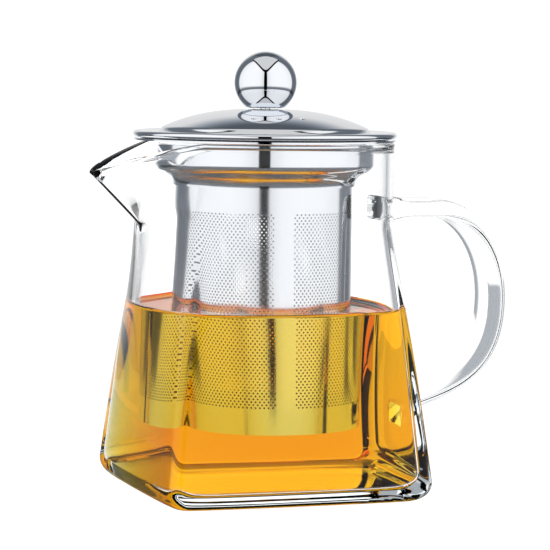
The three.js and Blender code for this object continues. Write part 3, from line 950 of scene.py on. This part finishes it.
def build_studio():
    """A light tent: a panel on each side with a dark gap between them in front, a ceiling panel and a backdrop.
    The panels show in what steel reflects. Through glass there is a pale backdrop, and what the camera sees
    directly is white. This is a device to match the photo and is not how light behaves."""
    world = bpy.data.worlds.new("studio")
    bpy.context.scene.world = world
    world.use_nodes = True
    world.cycles.sampling_method = "NONE"
    tree = world.node_tree

    def calc(operation, *values):
        return math_node(tree, operation, *values)

    def smooth(value, low, high):
        """0 below low, 1 above high."""
        spread = tree.nodes.new("ShaderNodeMapRange")
        spread.interpolation_type = "SMOOTHSTEP"
        spread.inputs["From Min"].default_value = low
        spread.inputs["From Max"].default_value = high
        tree.links.new(value, spread.inputs["Value"])
        return spread.outputs["Result"]

    def blend(share, low, high):
        """low where share is 0, high where it is 1."""
        return calc("MULTIPLY_ADD", share, calc("SUBTRACT", high, low), low)

    place = tree.nodes.new("ShaderNodeTexCoord")
    turn = tree.nodes.new("ShaderNodeVectorRotate")
    turn.rotation_type = "Z_AXIS"
    turn.inputs["Angle"].default_value = -CAMERA_AZIMUTH
    tree.links.new(place.outputs["Generated"], turn.inputs["Vector"])
    parts = tree.nodes.new("ShaderNodeSeparateXYZ")
    tree.links.new(turn.outputs["Vector"], parts.inputs[0])
    x, y, z = parts.outputs
    half_turn = calc("DIVIDE", calc("ARCTAN2", calc("ABSOLUTE", x), calc("MULTIPLY", y, -1.0)), math.pi)

    # walls: panels, dark corners and a backdrop that gets darker upwards
    behind = smooth(half_turn, 0.80, 0.88)
    fall = calc("SUBTRACT", 1.0, calc("MULTIPLY", behind, calc("MULTIPLY", smooth(z, 0.38, 0.72), 0.85)))
    panels = calc("MULTIPLY", grey_ramp(tree, half_turn, PANEL_STOPS), PANEL_BRIGHTNESS)
    walls = calc("MULTIPLY", panels, fall)
    walls = calc("MULTIPLY", walls, blend(smooth(z, -0.30, -0.17), 0.2, 1.0))

    # ceiling, with a dark seam along its sides
    height = calc("MAXIMUM", z, 0.05)
    across, along = calc("DIVIDE", x, height), calc("DIVIDE", y, height)
    outside = calc("SUBTRACT", calc("MULTIPLY", across, across),
                   calc("MULTIPLY", calc("ADD", along, CEILING_TIP), CEILING_SPREAD))
    past_back = calc("SUBTRACT", along, CEILING_BACK)
    in_ceiling = calc("MULTIPLY", smooth(calc("MULTIPLY", outside, -1.0), 0.0, 0.015),
                      smooth(calc("MULTIPLY", past_back, -1.0), 0.0, 0.05))
    in_seam = calc("MULTIPLY", smooth(calc("MULTIPLY", outside, -1.0), -0.085, -0.07),
                   smooth(calc("MULTIPLY", past_back, -1.0), 0.0, 0.05))
    upper = smooth(z, 0.20, 0.30)
    rays = tree.nodes.new("ShaderNodeLightPath")
    is_bare = calc("LESS_THAN", rays.outputs["Transmission Depth"], 0.5)
    studio = blend(calc("MULTIPLY", calc("MULTIPLY", in_seam, is_bare), upper), walls, 0.0)
    studio = blend(calc("MULTIPLY", in_ceiling, upper), studio, CEILING_BRIGHTNESS)

    # backdrop for what is seen through glass
    low_down = smooth(z, -0.20, -0.15)
    is_wet = calc("GREATER_THAN", rays.outputs["Transmission Depth"], 4.5)
    flags = calc("POWER", grey_ramp(tree, half_turn, FLAG_STOPS), blend(is_wet, 1.0, 0.5))
    backdrop = calc("MULTIPLY", blend(low_down, 1.0, flags), THROUGH_BRIGHTNESS)

    seen = blend(seen_in_steel(tree), backdrop, studio)
    seen = blend(rays.outputs["Is Camera Ray"], seen, BACKDROP_BRIGHTNESS)
    background = tree.nodes["Background"]
    tint = tree.nodes.new("ShaderNodeMix")
    tint.data_type = "RGBA"
    tint.inputs["A"].default_value = (0.80, 0.91, 1.06, 1)
    tint.inputs["B"].default_value = (1, 1, 1, 1)
    tree.links.new(smooth(seen, 0.1, 0.8), tint.inputs["Factor"])
    tree.links.new(tint.outputs["Result"], background.inputs["Color"])
    tree.links.new(seen, background.inputs["Strength"])


def build_camera():
    data = bpy.data.cameras.new("camera")
    data.lens = CAMERA_LENS
    data.sensor_width = 36
    data.clip_end = 50
    camera = bpy.data.objects.new("camera", data)
    bpy.context.collection.objects.link(camera)
    away = Vector((math.sin(CAMERA_AZIMUTH), -math.cos(CAMERA_AZIMUTH), 0)) * CAMERA_DISTANCE
    place = Matrix.Translation(away + Vector((0, 0, CAMERA_HEIGHT)))
    heading = Matrix.Rotation(CAMERA_AZIMUTH + CAMERA_YAW_OFF_AXIS, 4, "Z")
    tilt = Matrix.Rotation(math.pi / 2 - CAMERA_PITCH, 4, "X")
    camera.matrix_world = place @ heading @ tilt @ Matrix.Rotation(CAMERA_ROLL, 4, "Z")
    bpy.context.scene.camera = camera


build_camera()
build_floor()
build_studio()
build_jug()
build_tea()
build_handle()
build_collar()
build_tube()
build_bottom()
build_lid()
build_skirt()
build_knob()
build_insert()
build_washer()
build_screw()

bpy.context.scene.view_settings.view_transform = "Standard"
